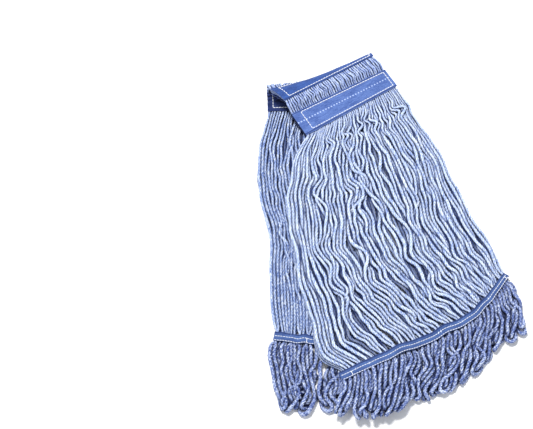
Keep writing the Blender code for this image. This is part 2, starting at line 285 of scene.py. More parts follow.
class Partings:
    """Seeded places in a skirt where neighbouring strands stand apart and leave a long dark gap."""

    def __init__(self, count, grow, known):
        known = np.array(known)
        self.u = np.append(rng.uniform(0.05, 0.95, count), known[:, 0])
        self.v = np.append(rng.uniform(0.08, 0.95, count), known[:, 1])
        self.reach = np.append(rng.uniform(1.6, 3.8, count) * grow, known[:, 2]) * MM
        self.wide = np.append(rng.uniform(0.015, 0.035, count), known[:, 3])
        self.long = np.append(rng.uniform(0.02, 0.07, count), known[:, 4])

    def __call__(self, u, v):
        du = (np.asarray(u)[..., None] - self.u) / self.wide
        dv = (np.asarray(v)[..., None] - self.v) / self.long
        return (self.reach * np.tanh(4 * du) * np.exp(-du**2 - dv**2)).sum(-1)


class Kinks:
    """Seeded places where all strands of a lock bend sharply one way and then back."""

    def __init__(self, count):
        self.u = rng.uniform(0.1, 0.95, count)
        self.v = rng.uniform(0.10, 0.94, count)
        self.slope = rng.uniform(-0.5, 0.5, count)
        self.reach = rng.uniform(2.5, 5.5, count) * MM * rng.choice((-1, 1), count)
        self.wide = rng.uniform(0.05, 0.13, count)

    def __call__(self, u, v):
        u = np.asarray(u)[..., None]
        du = (u - self.u) / self.wide
        dv = np.asarray(v)[..., None] - self.v - self.slope * (u - self.u)
        return (self.reach * np.tanh(dv / 0.013) * np.exp(-((dv / 0.05) ** 2) - du**2)).sum(-1)


# ---------------------------------------------------------------- strands
class Strand:
    """One length of yarn: its centre line, the radius along it, which part is held still, and its layer."""

    def __init__(self, points, radius, held, layer, group):
        self.points = np.asarray(points, float)
        self.radius = np.asarray(radius, float) * np.ones(len(points))
        self.held = np.asarray(held, bool) | np.zeros(len(points), bool)
        self.layer = layer
        self.group = group
        self.seed = rng.uniform(0, 1)


NEIGHBOURS = [(x, y, z) for x in (-1, 0, 1) for y in (-1, 0, 1) for z in (-1, 0, 1)]


class Cells:
    """Points sorted by the cube of space that they lie in, to find near ones quickly."""

    def __init__(self, points, reach):
        self.reach = reach
        cell = np.floor(points / reach).astype(np.int64)
        self.base = cell.min(0) - 2
        self.size = cell.max(0) - self.base + 3
        key = self.key_of(cell)
        self.order = np.argsort(key, kind="stable")
        self.ranked = key[self.order]

    def key_of(self, cell):
        cell = np.clip(cell - self.base, 0, self.size - 1)
        return (cell[:, 0] * self.size[1] + cell[:, 1]) * self.size[2] + cell[:, 2]

    def near(self, places, offset):
        """Index pairs of places and of the points in the cube at an offset from theirs."""
        key = self.key_of(np.floor(places / self.reach).astype(np.int64) + offset)
        low = np.searchsorted(self.ranked, key, "left")
        count = np.searchsorted(self.ranked, key, "right") - low
        a = np.repeat(np.arange(len(places)), count)
        shift = np.repeat(low - (np.cumsum(count) - count), count)
        return a, self.order[np.arange(len(a)) + shift]


def close_pairs(points):
    """Index pairs of points that share a cube or lie in neighbouring ones, each pair once."""
    cells = Cells(points, PAIR_REACH)
    a, b = cells.near(points, (0, 0, 0))
    pairs = [(a[a < b], b[a < b])] + [cells.near(points, offset) for offset in NEIGHBOURS[14:]]
    return np.concatenate(pairs, 1)


def joined(strands):
    """The points of all the strands, their radii, and the number of the strand that each belongs to."""
    points = np.concatenate([s.points for s in strands])
    radius = np.concatenate([s.radius for s in strands])
    return points, radius, np.repeat(np.arange(len(strands)), [len(s.points) for s in strands])


def settle(strands, lower, upper, rounds):
    """Pushes strands that lie in each other apart, and keeps them between two heights."""
    points, radius, owner = joined(strands)
    start = points.copy()
    free = ~np.concatenate([s.held for s in strands])
    place = np.concatenate([np.arange(len(s.points)) for s in strands])
    inner = np.zeros(len(points), bool)
    inner[1:-1] = (owner[1:-1] == owner[:-2]) & (owner[1:-1] == owner[2:])
    for _ in range(rounds):
        a, b = close_pairs(points)
        apart = (owner[a] != owner[b]) | (np.abs(place[a] - place[b]) > OWN_POINTS)
        apart &= free[a] | free[b]
        a, b = a[apart], b[apart]
        gap = points[a] - points[b]
        distance = np.maximum(np.linalg.norm(gap, axis=1), 1e-7)
        overlap = KEPT_APART * (radius[a] + radius[b]) - distance
        touch = overlap > 0
        a, b = a[touch], b[touch]
        push = (overlap[touch] / distance[touch])[:, None] * gap[touch] * PUSH_SHARE
        move = np.zeros_like(points)
        for axis in range(3):
            move[:, axis] = np.bincount(a, push[:, axis], len(points))
            move[:, axis] -= np.bincount(b, push[:, axis], len(points))
        number = np.bincount(a, minlength=len(points)) + np.bincount(b, minlength=len(points))
        move /= np.maximum(1.0, SLOWED * number)[:, None]
        points += np.where(free[:, None], move, 0.0)
        shift = points - start
        soft = shift.copy()
        soft[1:-1] = 0.5 * shift[1:-1] + 0.25 * (shift[:-2] + shift[2:])
        shift = np.where((inner & free)[:, None], soft, shift)
        points = start + shift
        low = lower(points) + FLOOR_CLEARANCE * radius
        high = upper(points) - radius
        points[:, 2] = np.where(free, np.clip(points[:, 2], low, np.maximum(high, low)), points[:, 2])
    at = 0
    for s in strands:
        s.points = points[at:at + len(s.points)]
        at += len(s.points)


class Crowd:
    """Where all the strands run, to tell how closely each surface is hemmed in by others, for its painted
    shade.
    """

    def __init__(self, strands):
        for number, s in enumerate(strands):
            s.number = number
        self.points, self.radius, self.owner = joined(strands)
        spacing = [np.linalg.norm(np.gradient(s.points, axis=0), axis=1) for s in strands]
        self.share = np.concatenate(spacing) / (1.63 * self.radius)
        self.cells = Cells(self.points, CROWD_REACH * 2.1 * FREE_RADIUS)

    def closed(self, line, radius, ways, number):
        """How far other strands close off each way out of the points of a strand."""
        a, b = np.concatenate([self.cells.near(line, offset) for offset in NEIGHBOURS], 1)
        keep = self.owner[b] != number
        a, b = a[keep], b[keep]
        gap = self.points[b] - line[a]
        distance = np.maximum(np.linalg.norm(gap, axis=1), 1e-6)
        near = distance / (radius[a] + self.radius[b])
        weight = smoothstep((CROWD_REACH - near) / 0.75) * self.share[b]
        keep = weight > 0
        a = a[keep]
        toward = gap[keep] / distance[keep][:, None]
        weight = weight[keep]
        found = np.zeros(ways.shape[:2])
        for column in range(ways.shape[1]):
            facing = np.clip((toward * ways[a, column]).sum(1), 0, 1)
            found[:, column] = np.bincount(a, weight * facing * facing, len(line))
        return found


def resample(points, radius, held, step):
    """The same line with its points a fixed step apart."""
    run = run_along(points)
    at = even_steps(run, step)
    line = np.stack([np.interp(at, run, points[:, k]) for k in range(3)], 1)
    return line, np.interp(at, run, radius), np.interp(at, run, held) > 0.5


def rounded(line, times):
    """Softens the corners of a line, with its ends kept."""
    line = line.copy()
    for _ in range(times):
        line[1:-1] = 0.5 * line[1:-1] + 0.25 * (line[:-2] + line[2:])
    return line


def finer(strand, step):
    """A Catmull-Rom curve through a strand's points, sampled at the ring spacing."""
    run = run_along(strand.points)
    at = even_steps(run, step)
    t = np.interp(at, run, np.arange(len(strand.points)))
    return along(strand.points, t), np.interp(at, run, strand.radius)


def carried_sides(tangent):
    """A unit vector square to the line at each point, carried along it without twist."""
    side = np.zeros_like(tangent)
    start = np.cross(tangent[0], (0.0, 0.0, 1.0))
    if np.linalg.norm(start) < 0.1:
        start = np.cross(tangent[0], (0.0, 1.0, 0.0))
    side[0] = unit(start)
    for k in range(1, len(tangent)):
        carried = side[k - 1] - tangent[k] * np.dot(side[k - 1], tangent[k])
        side[k] = carried / max(np.linalg.norm(carried), 1e-9)
    return side


def tube(strand, columns, step, crowd):
    """Points, faces and surface values of a four-ply yarn that follows a strand."""
    line, radius = finer(strand, step)
    count = len(line)
    tangent = unit(np.gradient(line, axis=0))
    side = carried_sides(tangent)
    other = np.cross(tangent, side)
    run = run_along(line)
    turn = 2 * math.pi * (run / TWIST_PITCH + strand.seed)
    local = 2 * math.pi * np.arange(columns) / columns
    angle = turn[:, None] + local
    lobe = np.array(PLY_LOBES[columns] * 4)
    thick = 1 + 0.035 * np.sin(run / (9 * MM) + 7 * strand.seed)
    thick += 0.03 * np.sin(run / (3.1 * MM) + 40 * strand.seed)
    rough = 1 + rng.normal(0, SURFACE_NOISE, (count, columns))
    reach = (radius * thick)[:, None] * lobe * rough
    ways = np.cos(angle)[..., None] * side[:, None, :] + np.sin(angle)[..., None] * other[:, None, :]
    rings = line[:, None, :] + reach[..., None] * ways
    ends = np.stack([line[0] - 0.3 * radius[0] * tangent[0], line[-1] + 0.3 * radius[-1] * tangent[-1]])
    i = np.arange(columns)
    after = (i + 1) % columns
    j = np.arange(count - 1)[:, None] * columns
    quads = np.stack([j + i, j + columns + i, j + columns + after, j + after], -1).reshape(-1, 4)
    tip = np.full(columns, count * columns)
    base = (count - 1) * columns
    caps = np.concatenate([np.stack([i, after, tip], -1), np.stack([base + after, base + i, tip + 1], -1)])
    yarn = np.empty((count, columns, 3))
    yarn[..., 0] = FREE_RADIUS * np.cos(local)
    yarn[..., 1] = FREE_RADIUS * np.sin(local)
    yarn[..., 2] = run[:, None] + 3.0 * strand.seed
    # How far other strands close off each way out, which sets the painted shade in the crevices between
    # strands.
    closed = crowd.closed(line, radius, ways, strand.number)
    values = {
        "yarn_at": np.concatenate([yarn.reshape(-1, 3), yarn[[0, -1], 0] * (0, 0, 1)]),
        "groove_shade": np.concatenate([np.tile(lobe < 0.9, count), [0.0, 0.0]]),
        "crevice_shade": np.concatenate([smoothstep((closed - CREVICE_FROM) / CREVICE_SPAN).ravel(), [0.5, 0.5]]),
    }
    return np.concatenate([rings.reshape(-1, 3), ends]), quads, caps, values


def mesh_from(name, points, faces_by_size, attributes, material):
    """A mesh object from numpy arrays of points and of faces with equal corner counts."""
    mesh = bpy.data.meshes.new(name)
    mesh.vertices.add(len(points))
    mesh.vertices.foreach_set("co", np.asarray(points, np.float32).ravel())
    corners = np.concatenate([f.ravel() for f in faces_by_size]).astype(np.int32)
    sizes = np.concatenate([np.full(len(f), f.shape[1]) for f in faces_by_size]).astype(np.int32)
    starts = np.concatenate([[0], np.cumsum(sizes)[:-1]]).astype(np.int32)
    mesh.loops.add(len(corners))
    mesh.loops.foreach_set("vertex_index", corners)
    mesh.polygons.add(len(sizes))
    mesh.polygons.foreach_set("loop_start", starts)
    mesh.polygons.foreach_set("loop_total", sizes)
    mesh.update(calc_edges=True)
    mesh.validate()
    mesh.shade_smooth()
    for key, values in attributes.items():
        vector = values.ndim == 2
        layer = mesh.attributes.new(key, "FLOAT_VECTOR" if vector else "FLOAT", "POINT")
        layer.data.foreach_set("vector" if vector else "value", np.asarray(values, np.float32).ravel())
    made = bpy.data.objects.new(name, mesh)
    made.data.materials.append(material)
    bpy.context.scene.collection.objects.link(made)
    return made


def yarn_piece(name, strands, material, crowd, step=2.3 * MM):
    """One object of many strands. The ones that show have twelve columns, the buried ones eight."""
    points, quads, caps = [], [], []
    attributes = {}
    at = 0
    for s in strands:
        p, q, c, values = tube(s, 12 if s.layer == 0 else 8, step, crowd)
        inside = smoothstep(min(s.group, 1 - s.group) / EDGE_SHARE)
        values["strand"] = np.full(len(p), s.seed)
        # The depth value is painted shade on strands that lie under others, faded out near the skirt's
        # sides.
        values["depth"] = np.full(len(p), BURIED_SHADE[s.layer] * inside)
        for key, found in values.items():
            attributes.setdefault(key, []).append(found)
        points.append(p)
        quads.append(q + at)
        caps.append(c + at)
        at += len(p)
    attributes = {key: np.concatenate(found) for key, found in attributes.items()}
    faces = [np.concatenate(quads), np.concatenate(caps)]
    return mesh_from(name, np.concatenate(points), faces, attributes, material)


# ---------------------------------------------------------------- materials
class Nodes:
    """Short hand for building a material's node tree."""

    def __init__(self, name):
        self.material = bpy.data.materials.new(name)
        self.material.use_nodes = True
        self.tree = self.material.node_tree
        self.shader = self.tree.nodes["Principled BSDF"]

    def add(self, kind, **settings):
        node = self.tree.nodes.new(kind)
        for key, value in settings.items():
            setattr(node, key, value)
        return node

    def link(self, source, target):
        self.tree.links.new(source, target)

    def put(self, value, socket):
        """Sets a socket to a number or colour, or links it."""
        if isinstance(value, (int, float)):
            socket.default_value = value
        elif isinstance(value, tuple):
            socket.default_value = (*value, 1.0)
        else:
            self.link(value, socket)

    def attribute(self, name, field="Fac"):
        return self.add("ShaderNodeAttribute", attribute_name=name).outputs[field]

    def noise(self, vector, scale, detail=2.0, roughness=0.6):
        place = self.add("ShaderNodeMapping")
        place.inputs["Scale"].default_value = scale
        self.link(vector, place.inputs["Vector"])
        node = self.add("ShaderNodeTexNoise")
        node.inputs["Scale"].default_value = 1.0
        node.inputs["Detail"].default_value = detail
        node.inputs["Roughness"].default_value = roughness
        self.link(place.outputs["Vector"], node.inputs["Vector"])
        return node.outputs["Fac"]

    def ramp(self, value, stops):
        node = self.add("ShaderNodeValToRGB")
        elements = node.color_ramp.elements
        while len(elements) < len(stops):
            elements.new(0.5)
        for element, (position, colour) in zip(elements, stops):
            element.position = position
            element.color = (*colour, 1.0)
        self.link(value, node.inputs["Fac"])
        return node.outputs["Color"]

    def parts(self, vector):
        node = self.add("ShaderNodeSeparateXYZ")
        self.link(vector, node.inputs["Vector"])
        return node.outputs

    def math(self, operation, *values):
        node = self.add("ShaderNodeMath", operation=operation)
        for socket, value in zip(node.inputs, values):
            self.put(value, socket)
        return node.outputs["Value"]

    def total(self, *terms):
        """The sum of values, each times its factor."""
        found = [self.math("MULTIPLY", value, factor) for value, factor in terms]
        level = found[0]
        for term in found[1:]:
            level = self.math("ADD", level, term)
        return level

    def wave(self, value, pitch):
        return self.math("SINE", self.math("MULTIPLY", value, 2 * math.pi / pitch))

    def mix(self, factor, a, b, blend="MIX"):
        node = self.add("ShaderNodeMix", data_type="RGBA", blend_type=blend)
        for socket, value in ((node.inputs[0], factor), (node.inputs[6], a), (node.inputs[7], b)):
            self.put(value, socket)
        return node.outputs[2]

    def over(self, mask, amount, colour, other):
        """A colour that turns into the other one by an amount where the mask is one."""
        return self.mix(self.math("MULTIPLY", mask, amount), colour, other)

    def tinted(self, colour, tint):
        return self.mix(1.0, colour, tint, "MULTIPLY")

    def bump(self, height, strength, distance):
        node = self.add("ShaderNodeBump")
        node.inputs["Strength"].default_value = strength
        node.inputs["Distance"].default_value = distance
        self.link(height, node.inputs["Height"])
        self.link(node.outputs["Normal"], self.shader.inputs["Normal"])

    def finish(self, colour, roughness, sheen, specular):
        self.link(colour, self.shader.inputs["Base Color"])
        self.shader.inputs["Roughness"].default_value = roughness
        self.shader.inputs["Specular IOR Level"].default_value = specular
        self.shader.inputs["Sheen Weight"].default_value = sheen
        self.shader.inputs["Sheen Roughness"].default_value = 0.5
        return self.material


# buried sets how far painted shade darkens strands lying under others; the last colour is the painted
# crevice shade.
def yarn_material(name, dark, middle, light, buried, crevice_shade_colour=(0.008, 0.020, 0.095)):
    """Heathered cotton yarn of blue and pale fibres spun together; painted shade in ply grooves, crevices,
    buried strands.
    """
    n = Nodes(name)
    at = n.attribute("yarn_at", "Vector")
    fibres = n.noise(at, (900.0, 900.0, 160.0), 3.0)
    flecks = n.noise(at, (640.0, 640.0, 520.0), 2.0, 0.55)
    mottle = n.math("SUBTRACT", n.noise(at, (30.0, 30.0, 46.0), 2.0, 0.5), 0.5)
    x, y, z = n.parts(at)
    helix = n.math("MULTIPLY", z, 2 * math.pi / (2.9 * MM))
    plies = n.math("SINE", n.math("ADD", helix, n.math("MULTIPLY", n.math("ARCTAN2", y, x), 3.0)))
    level = n.total((fibres, 0.42), (flecks, 0.58), (mottle, 0.34), (plies, 0.028))
    colour = n.ramp(level, [(0.37, dark), (0.49, middle), (0.62, light)])
    colour = n.over(n.attribute("strand"), 0.30, colour, n.tinted(colour, (0.72, 0.78, 0.88)))
    # Painted shade in the grooves between the plies.
    colour = n.over(n.attribute("groove_shade"), 0.62, colour, n.tinted(colour, (0.28, 0.33, 0.48)))
    # Painted shade: where other strands hem a surface in, it turns to the dark crevice colour.
    colour = n.over(n.attribute("crevice_shade"), 0.94, colour, crevice_shade_colour)
    # Painted shade on strands that lie under others, carried by the depth attribute.
    colour = n.over(n.attribute("depth"), buried, colour, (0.014, 0.026, 0.105))
    n.bump(fibres, 0.5, 0.35 * MM)
    return n.finish(colour, 0.95, 0.08, 0.04)


def cloth_material(name, dark, light, width=STRIP_WIDTH, hem=1.9 * MM, dashes=False, wear=0.35):
    """Plain-woven cloth laid out flat: ribs both ways, worn threads and dark hem lines."""
    n = Nodes(name)
    at = n.attribute("cloth_at", "Vector")
    x, y, z = n.parts(at)
    weave = n.math("MULTIPLY", n.wave(x, 1.5 * MM), n.wave(y, 1.1 * MM))
    patches = n.math("SUBTRACT", n.noise(at, (55.0, 90.0, 90.0), 3.0), 0.5)
    threads = n.noise(at, (140.0, 1900.0, 500.0))
    slubs = n.noise(at, (1900.0, 150.0, 500.0))
    level = n.total((weave, 0.10), (threads, 0.55), (slubs, 0.30), (patches, wear))
    colour = n.ramp(level, [(0.28, dark), (0.58, light)])
    if dashes:
        near = n.math("LESS_THAN", n.math("ABSOLUTE", z), 0.85 * MM)
        on = n.math("MULTIPLY", near, n.math("GREATER_THAN", n.wave(x, 4.4 * MM), 0.15))
        colour = n.over(on, 0.70, colour, (0.50, 0.62, 0.92))
    from_side = n.math("MINIMUM", y, n.math("SUBTRACT", width, y))
    off_line = n.math("ABSOLUTE", n.math("SUBTRACT", from_side, hem))
    line = n.math("MAXIMUM", n.math("SUBTRACT", 1.3, n.math("DIVIDE", off_line, 1.0 * MM)), 0.0)
    colour = n.over(n.math("MINIMUM", line, 1.0), 0.80, colour, (0.010, 0.022, 0.11))
    n.bump(n.math("ADD", n.math("MULTIPLY", weave, 0.5), threads), 0.6, 0.25 * MM)
    return n.finish(colour, 0.8, 0.15, 0.25)


def thread_material(name):
    """White sewing thread with a little fuzz."""
    n = Nodes(name)
    fuzz = n.noise(n.add("ShaderNodeTexCoord").outputs["Object"], (1500.0, 1500.0, 1500.0))
    colour = n.ramp(fuzz, [(0.3, (0.62, 0.68, 0.80)), (0.6, (0.92, 0.94, 0.97))])
    n.bump(fuzz, 0.4, 0.15 * MM)
    return n.finish(colour, 0.6, 0.1, 0.35)


YARN = yarn_material("yarn", (0.240, 0.330, 0.650), (0.570, 0.685, 0.935), (0.900, 0.945, 1.0), 0.62)
# The back skirt's yarn is a darker copy of the skirt yarn: painted shade, as that half lies lower.
BACK_YARN_SHADED = yarn_material(
    "back_yarn_shaded", (0.085, 0.145, 0.400), (0.370, 0.480, 0.770), (0.850, 0.910, 0.990), 0.70
)
# The fringe's yarn is a darker copy of the skirt yarn, with a near black crevice colour: painted shade at
# the mop's lower end.
FRINGE_YARN_SHADED = yarn_material(
    "fringe_yarn_shaded",
    (0.048, 0.078, 0.270),
    (0.205, 0.275, 0.550),
    (0.760, 0.830, 0.980),
    0.55,
    (0.002, 0.005, 0.040),
)
BAND_YARN = yarn_material(
    "band_yarn", (0.190, 0.270, 0.600), (0.420, 0.530, 0.860), (0.780, 0.860, 0.990), 0.40
)
STRIP_CLOTH = cloth_material("strip_cloth", (0.024, 0.058, 0.235), (0.132, 0.220, 0.520), dashes=True)
# The linings are painted very dark: painted shade, as they lie inside the headband's folds.
LINING_CLOTH_SHADED = cloth_material("lining_cloth", (0.006, 0.014, 0.070), (0.020, 0.040, 0.160), wear=0.25)
# The crown strip is the same cloth as the other strips in darker colours: painted shade.
CROWN_CLOTH_SHADED = cloth_material("crown_strip_cloth_shaded", (0.010, 0.029, 0.135), (0.043, 0.114, 0.395))
TAPE_CLOTH = cloth_material("tape_cloth", (0.016, 0.038, 0.150), (0.085, 0.160, 0.395), TAPE_WIDTH, 1.0 * MM)
THREAD = thread_material("sewing_thread")


# ---------------------------------------------------------------- the yarn of the skirts and the fringes
STEP = 4.0 * MM
# For the top, middle and lowest layer: the size of a strand, and the painted shade of what lies over it.
LAYER_SIZE = (1.0, 0.92, 0.82)
BURIED_SHADE = (0.0, 1.0, 0.35)
# The strands this near a skirt's side, as a share of its width, show and are kept free of painted shade.
EDGE_SHARE = 0.07
# How far the front skirt's lower left corner slumps out before it turns in to the tape's end. The back
# fringe's moving bundles lie just beside it and have to stay free of it.
CORNER_SAG = 6.0 * MM
CORNER_CURL = 4.0 * MM
# The widest gaps between strands: share across, share down, reach in mm, width and length as shares.
FRONT_GAPS = (
    (0.46, 0.105, 4.2, 0.022, 0.022), (0.56, 0.130, 4.4, 0.020, 0.026), (0.66, 0.115, 4.6, 0.024, 0.020),
    (0.74, 0.140, 4.8, 0.022, 0.024), (0.83, 0.125, 4.6, 0.024, 0.022), (0.36, 0.170, 4.0, 0.020, 0.030),
    (0.60, 0.420, 4.2, 0.020, 0.045), (0.30, 0.550, 4.0, 0.020, 0.060), (0.72, 0.700, 4.2, 0.020, 0.050),
)
BACK_GAPS = (
    (0.40, 0.130, 7.0, 0.050, 0.090), (0.17, 0.100, 4.5, 0.030, 0.080), (0.56, 0.910, 7.5, 0.070, 0.090),
    (0.24, 0.420, 4.5, 0.030, 0.100), (0.12, 0.720, 4.0, 0.030, 0.080),
)


# What differs between the two halves of the mop. Of the skirt: strands in each layer, dark gaps, kinks,
# how far a strand strays on its own in mm, and the part of the headband that it starts in. Of the fringe:
# loops, width, locks and how far they swing in mm, width of a loop in mm, its length as a share, how far
# it strays in mm, how closely a lock gathers, and how thick its yarn is.
FRONT = SimpleNamespace(
    surface=front_skirt_point, tape=FRONT_TAPE_EDGE, fringe=FRONT_FRINGE_EDGE,
    rows=(53, 50, 46), partings=(80, 1.0, FRONT_GAPS), kinks=30, stray=1.5, inside_strip=(0.55, 0.06),
    loops=56, fringe_width=0.26, locks=15, lock_swing=4.5, loop_width=(4.5, 9.0), loop_reach=(0.74, 0.96),
    loop_stray=2.6, gather=0.5, loop_size=1.08,
)
BACK = SimpleNamespace(
    surface=back_skirt_point, tape=BACK_TAPE_EDGE, fringe=BACK_FRINGE_EDGE,
    rows=(37, 38, 40), partings=(46, 1.4, BACK_GAPS), kinks=10, stray=2.0, inside_strip=(8.45, 8.94),
    loops=25, fringe_width=0.127, locks=7, lock_swing=6.5, loop_width=(6.0, 19.0), loop_reach=(0.66, 0.98),
    loop_stray=4.6, gather=0.35, loop_size=1.18,
)
# Depth of each layer below the top face in mm: of a skirt where it lies free and where it is pressed, and
# of the loops. Then of the headband's two rows, where they are pressed and where they are open.
FREE_DEPTHS = (2.6, 6.1, 9.3)
PRESSED_DEPTHS = (3.2, 6.2, 7.4)
LOOP_DEPTHS = (2.5, 5.6, 8.4)
BAND_PRESSED = (3.05, 6.25)
BAND_OPEN = (1.0, 4.3)
BAND_ROWS = (46, 44)
# For each layer of a skirt: how unevenly the lower ends are spread, how far they slide aside, and how
# strongly locks, sharp kinks and the zigzag below the strip show in it.
END_JITTER = (1.0, 0.6, 0.5)
END_SLIDE = (0.085, 0.06, 0.04)
LOCKED = (1.0, 0.25, 0.12)
KINKED = (1.0, 0.4, 0.2)
ZIGZAGGED = (1.0, 0.5, 0.3)


def depth_of(layer, pressed):
    """Depth of a strand's axis below the top face of a skirt."""
    free = FREE_DEPTHS[layer] * MM
    return free + (PRESSED_DEPTHS[layer] * MM - free) * pressed


def spread(count, low, high, jitter):
    """Evenly spread places with a small seeded jitter."""
    pitch = (high - low) / count
    return low + pitch * (np.arange(count) + 0.5 + rng.uniform(-jitter, jitter, count))


def skirt_strands(side):
    """The strands of one skirt, from under the headband strip to under the tail tape."""
    front = side is FRONT
    lean = Waves(3.0, 1.6)
    locks = Waves(9.0, 3.4)
    ripple = Waves(6.0, 7.0)
    lift = Waves(7.0, 3.0)
    zigzag = Waves(4.5, 0.0)
    drift = Waves(3.0, 0.0)
    partings = Partings(*side.partings)
    kinks = Kinks(side.kinks)
    strands = []
    for layer, count in enumerate(side.rows):
        tops = spread(count, 0.008, 0.992, 0.22)
        ends = np.clip(spread(count, 0.006, 0.994, END_JITTER[layer]), 0.006, 0.994)
        for k in range(count):
            own = Waves(0.0, 5.5, 4)
            crimp = Waves(0.0, 17.0, 5)
            v = np.linspace(0, 1, 110)
            mixing = smoothstep(v)
            u = tops[k] * (1 - mixing) + ends[k] * mixing
            if front:
                slide = smoothstep((v - 0.60) / 0.38) - 0.45 * np.sin(math.pi * v) ** 2
                u = u + END_SLIDE[layer] * math.sin(math.pi * tops[k] ** 0.8) * slide
            loose = np.sin(math.pi * v) ** 0.6
            edge = np.clip(7 * np.minimum(u, 1 - u), 0.45, 1)
            home = u
            width = 0.15 + 0.11 * smoothstep(v / 0.5)
            locked = LOCKED[layer]
            sway = 3.2 * MM * lean(home, v) + locked * 2.6 * MM * locks(home, v)
            sway += locked * 1.7 * MM * ripple(home, v) + locked * partings(home, v)
            sway += side.stray * MM * own(0 * v, v) + 0.6 * MM * crimp(0 * v, v)
            sway += KINKED[layer] * kinks(home, v)
            if front:
                middle = 0.115 + 0.016 * float(drift(tops[k], 0.0)) + rng.uniform(-0.006, 0.006)
                kink = hill(v, middle, 0.036) * smoothstep((u - 0.22) / 0.2)
                kink *= (0.8 + 0.7 * float(zigzag(tops[k], 0.0))) * rng.uniform(0.5, 1.4)
                sharp = np.tanh(3 * np.sin(2 * math.pi * (v - middle) / 0.064))
                sway += 10.5 * MM * ZIGZAGGED[layer] * kink * sharp
                curls = np.sin(2 * math.pi * v / 0.085 + 2.5 * math.sin(9 * tops[k]))
                sway += 3.5 * MM * hill(v, 0.9, 0.06) * curls
            u = np.clip(u + sway * loose * edge / width, -0.016, 1.012)
            pressed = np.maximum(1 - smoothstep(v / 0.035), smoothstep((v - 0.955) / 0.04))
            drop = depth_of(layer, pressed)
            rise = (0.9 * lift(home, v) + 0.7 * own(0 * v + 5.0, 0.6 * v)) * MM * loose * (1 - pressed)
            p = side.surface(u, v)
            if front:
                sag = CORNER_SAG * smoothstep((v - 0.74) / 0.20) * (1 - smoothstep((v - 0.935) / 0.05))
                sag += CORNER_CURL * hill(v, 0.945, 0.028)
                p[:, 0] -= sag * (1 - smoothstep(u / 0.30))
            p[:, 2] -= drop - rise
            slender = np.maximum(pressed, 0.85 * (1 - smoothstep(v / 0.32)))
            radius = FREE_RADIUS + (PRESSED_RADIUS - FREE_RADIUS) * slender
            radius = radius * LAYER_SIZE[layer] * rng.uniform(0.86, 1.10)
            t = np.linspace(*side.inside_strip, 7)
            inside = band_spot(np.full(7, tops[k]), t, np.full(7, min(depth_of(layer, 1.0), 6.4 * MM)))
            below = np.linspace(1.5, 6.5, 4) * MM
            sunk = np.full(4, depth_of(layer, 1.0) - TAPE_SINK)
            tail = tape_point(side.tape, np.full(4, u[-1]), below, sunk)
            line = np.concatenate([inside, p, tail])
            size = np.concatenate([np.full(7, radius[0]), radius, np.full(4, radius[-1])])
            held = np.concatenate([np.ones(7), (v < 0.012) | (v > 0.985), np.ones(4)])
            line, size, held = resample(line, size, held, STEP)
            strands.append(Strand(rounded(line, 2), size, held, layer, tops[k]))
    return strands


def fringe_strands(side):
    """Loops below a tail tape: a leg down, a turn, and a leg back up."""
    wander = Waves(5.0, 1.6)
    starts = spread(side.loops, 0.0, 0.985, 0.4)
    locks = spread(side.locks, 0.0, 1.0, 0.3)
    swings = rng.normal(0, side.lock_swing, len(locks)) * MM
    hangs = rng.uniform(0.87, 1.0, len(locks))
    strands = []
    for k in range(side.loops):
        lock = int(np.argmin(np.abs(locks - starts[k])))
        gap = rng.uniform(*side.loop_width) * MM / side.fringe_width
        u_down = np.clip(starts[k], 0.004, 0.996)
        u_up = np.clip(starts[k] + gap * rng.choice((-1, 1)), 0.004, 0.996)
        reach = hangs[lock] * rng.uniform(*side.loop_reach)
        v = np.linspace(0.0, reach, 22)
        layers = rng.permutation(3)[:2] if k % 2 else np.array([0, 2])
        legs = []
        for u_leg, layer in ((u_down, layers[0]), (u_up, layers[1])):
            own = Waves(0.0, 1.5, 3)
            swing = 2.5 * MM * wander(u_leg + 0 * v, v) + side.loop_stray * MM * own(0 * v, v)
            swing += swings[lock] * v
            gather = side.gather * (locks[lock] - u_leg) * smoothstep(v / 0.75)
            u = np.clip(u_leg + swing * smoothstep(v / 0.4) / side.fringe_width + gather, -0.01, 1.01)
            p = fringe_point(side.tape, side.fringe, np.clip(u, 0, 1), v)
            pressed = 1 - smoothstep(v / 0.16)
            free = LOOP_DEPTHS[layer] * MM
            p[:, 2] -= free + (TAPE_SINK + 1.2 * MM + PRESSED_RADIUS + 0.35 * free - free) * pressed
            start = tape_point(side.tape, np.full(3, u_leg), np.linspace(6.5, 10.5, 3) * MM, 0.0)
            start[:, 2] = p[0, 2]
            legs.append(np.concatenate([start, p]))
        first, second = legs
        way = unit(first[-1] - first[-4]) + unit(second[-1] - second[-4])
        way[2] = 0.0
        way = unit(way)
        middle = 0.5 * (first[-1] + second[-1])
        across = first[-1] - middle
        half = np.linalg.norm(across)
        angles = np.linspace(0, math.pi, 9)[1:-1]
        bulge = max(half * rng.uniform(0.9, 1.3), 3.6 * MM)
        widen = max(1.0, 3.4 * MM / max(half, 1e-6))
        arc = middle + np.cos(angles)[:, None] * across * (1 + (widen - 1) * np.sin(angles)[:, None])
        arc += np.sin(angles)[:, None] * way * bulge
        line = np.concatenate([first, arc, second[::-1]])
        tall = np.concatenate([np.arange(len(first)), np.full(len(arc), 99), np.arange(len(second))[::-1]])
        size = np.where(tall < 4, PRESSED_RADIUS, FREE_RADIUS * side.loop_size)
        size = size * rng.uniform(0.93, 1.07)
        held = tall < 4
        line, size, held = resample(line, size, held, STEP * 0.85)
        strands.append(Strand(rounded(line, 2), size, held, 0, starts[k]))
    return strands


